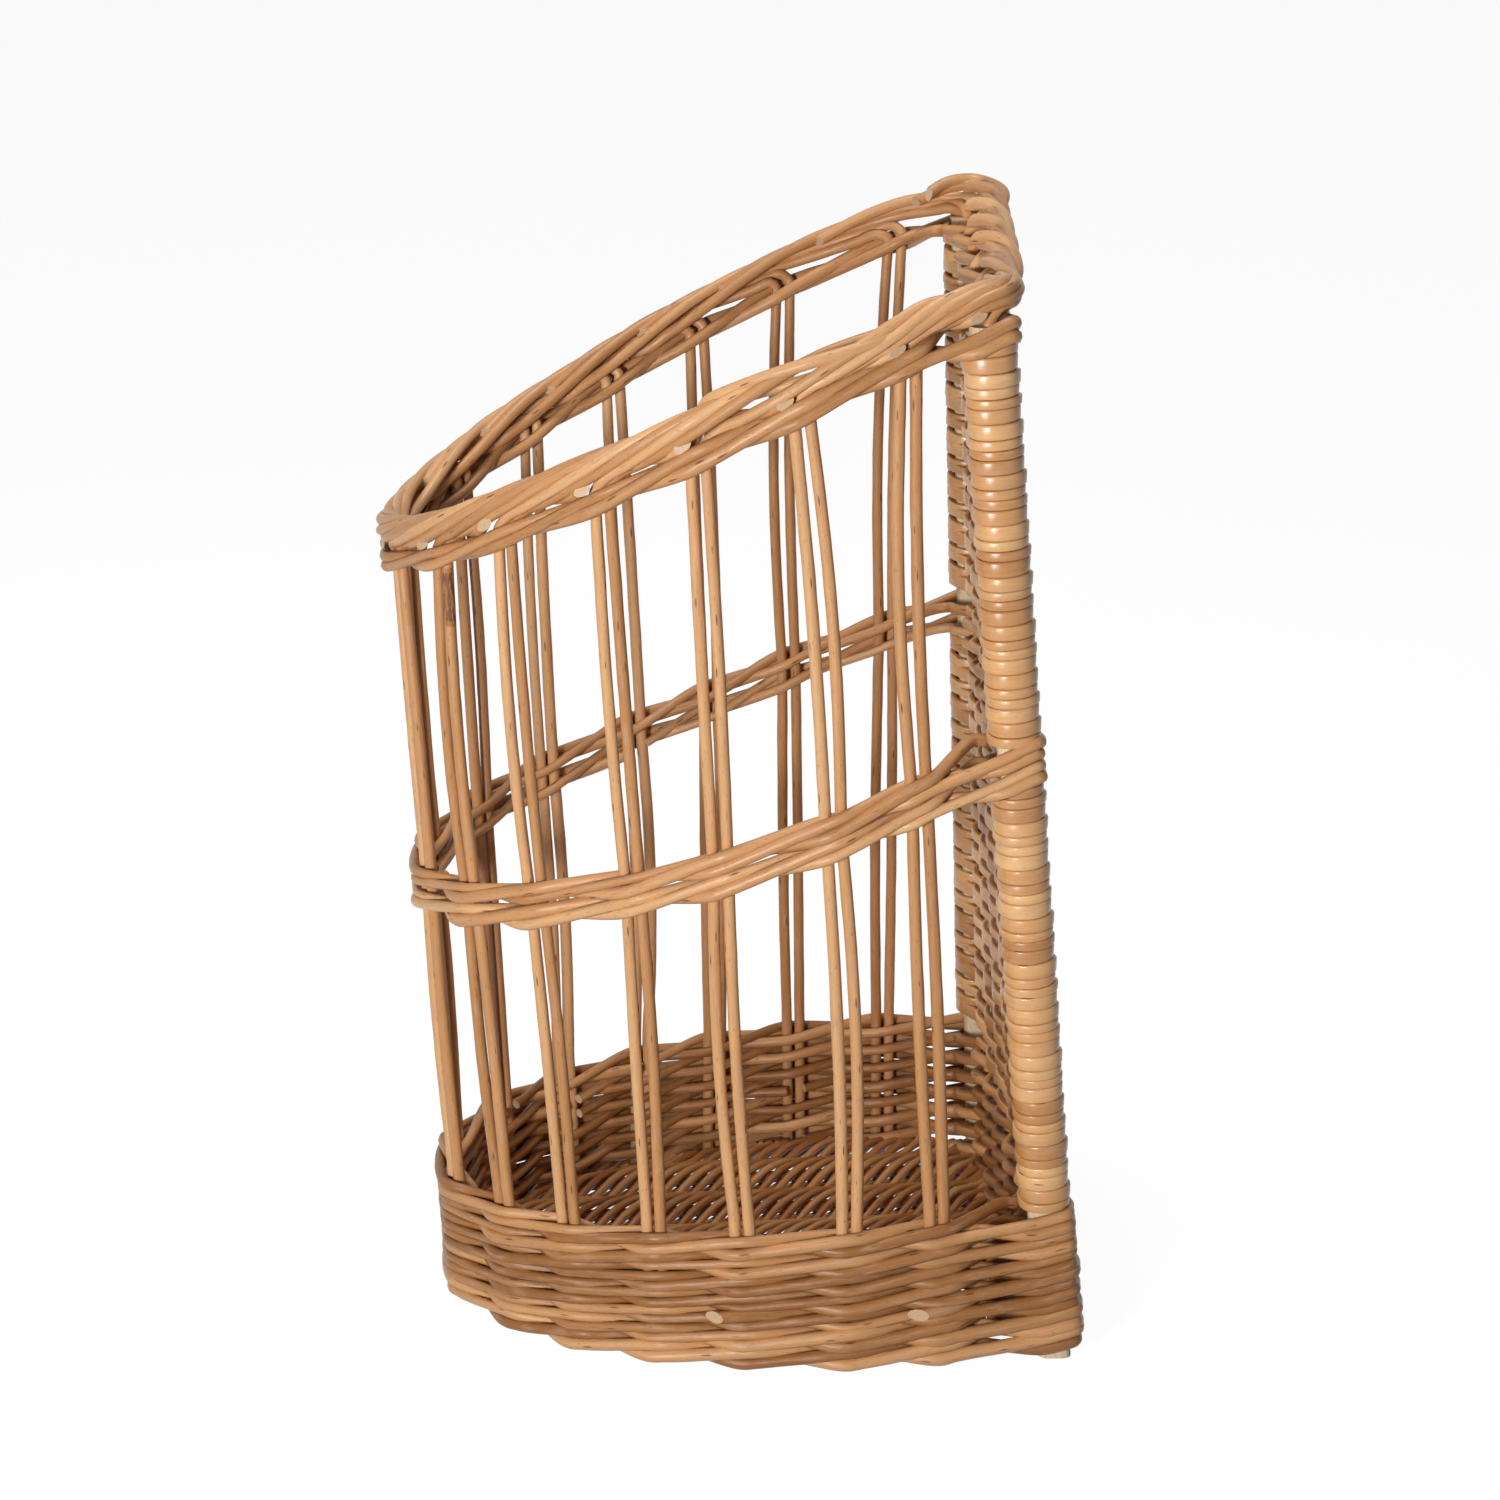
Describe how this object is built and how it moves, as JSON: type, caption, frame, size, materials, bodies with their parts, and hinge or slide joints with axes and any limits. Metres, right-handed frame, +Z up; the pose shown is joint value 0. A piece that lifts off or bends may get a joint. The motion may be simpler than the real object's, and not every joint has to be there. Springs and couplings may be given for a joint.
{
  "type": "baguette basket",
  "caption": "Tall open willow baguette basket with a woven base, a slanting middle band, a rolled border that rises to the back, and a flat woven back between two corner posts.",
  "frame": {"origin": "on the floor under the middle of the basket's bounding box", "axes": "+Z up; +Y towards the tall woven back, -Y towards the low front; +X towards the near corner post, which is the right one seen from the front"},
  "size_m": [0.3528, 0.4086, 0.6594],
  "materials": {
    "willow_stake": "peeled buff willow rod, satin, with small knots",
    "willow_weave": "peeled buff willow rod, woven damp, satin",
    "willow_strip": "flat split willow strip, glossy outer skin",
    "willow_floor": "buff willow rod, matt, darker",
    "batten": "bare pale sawn batten, matt"
  },
  "bodies": {
    "root": {"near_post": "batten", "far_post": "batten", "back_stake_1": "willow_stake", "back_stake_2": "willow_stake", "back_stake_3": "willow_stake", "back_stake_4": "willow_stake", "back_stake_5": "willow_stake", "stake_01_a": "willow_stake", "stake_01_b": "willow_stake", "stake_02_a": "willow_stake", "stake_02_b": "willow_stake", "stake_03_a": "willow_stake", "stake_03_b": "willow_stake", "stake_04_a": "willow_stake", "stake_04_b": "willow_stake", "stake_05_a": "willow_stake", "stake_05_b": "willow_stake", "stake_06_a": "willow_stake", "stake_06_b": "willow_stake", "stake_07_a": "willow_stake", "stake_07_b": "willow_stake", "stake_08_a": "willow_stake", "stake_08_b": "willow_stake", "stake_09_a": "willow_stake", "stake_09_b": "willow_stake", "stake_10_a": "willow_stake", "stake_10_b": "willow_stake", "stake_11_a": "willow_stake", "stake_11_b": "willow_stake", "stake_12_a": "willow_stake", "stake_12_b": "willow_stake", "stake_13_a": "willow_stake", "stake_13_b": "willow_stake", "stake_14_a": "willow_stake", "stake_14_b": "willow_stake", "base_band_row_1": "willow_weave", "base_band_row_2": "willow_weave", "base_band_row_3": "willow_weave", "base_band_row_4": "willow_weave", "base_band_row_5": "willow_weave", "base_band_row_6": "willow_weave", "base_band_row_7": "willow_weave", "middle_band_row_lower": "willow_weave", "middle_band_row_upper": "willow_weave", "under_border_row": "willow_weave", "border_strand_1": "willow_weave", "border_strand_2": "willow_weave", "border_strand_3": "willow_weave", "back_weave_lower": "willow_strip", "back_weave_upper": "willow_strip", "floor_stick_1": "willow_floor", "floor_stick_2": "willow_floor", "floor_stick_3": "willow_floor", "floor_stick_4": "willow_floor", "floor_stick_5": "willow_floor", "floor_weaver": "willow_floor"}
  },
  "joints": []
}
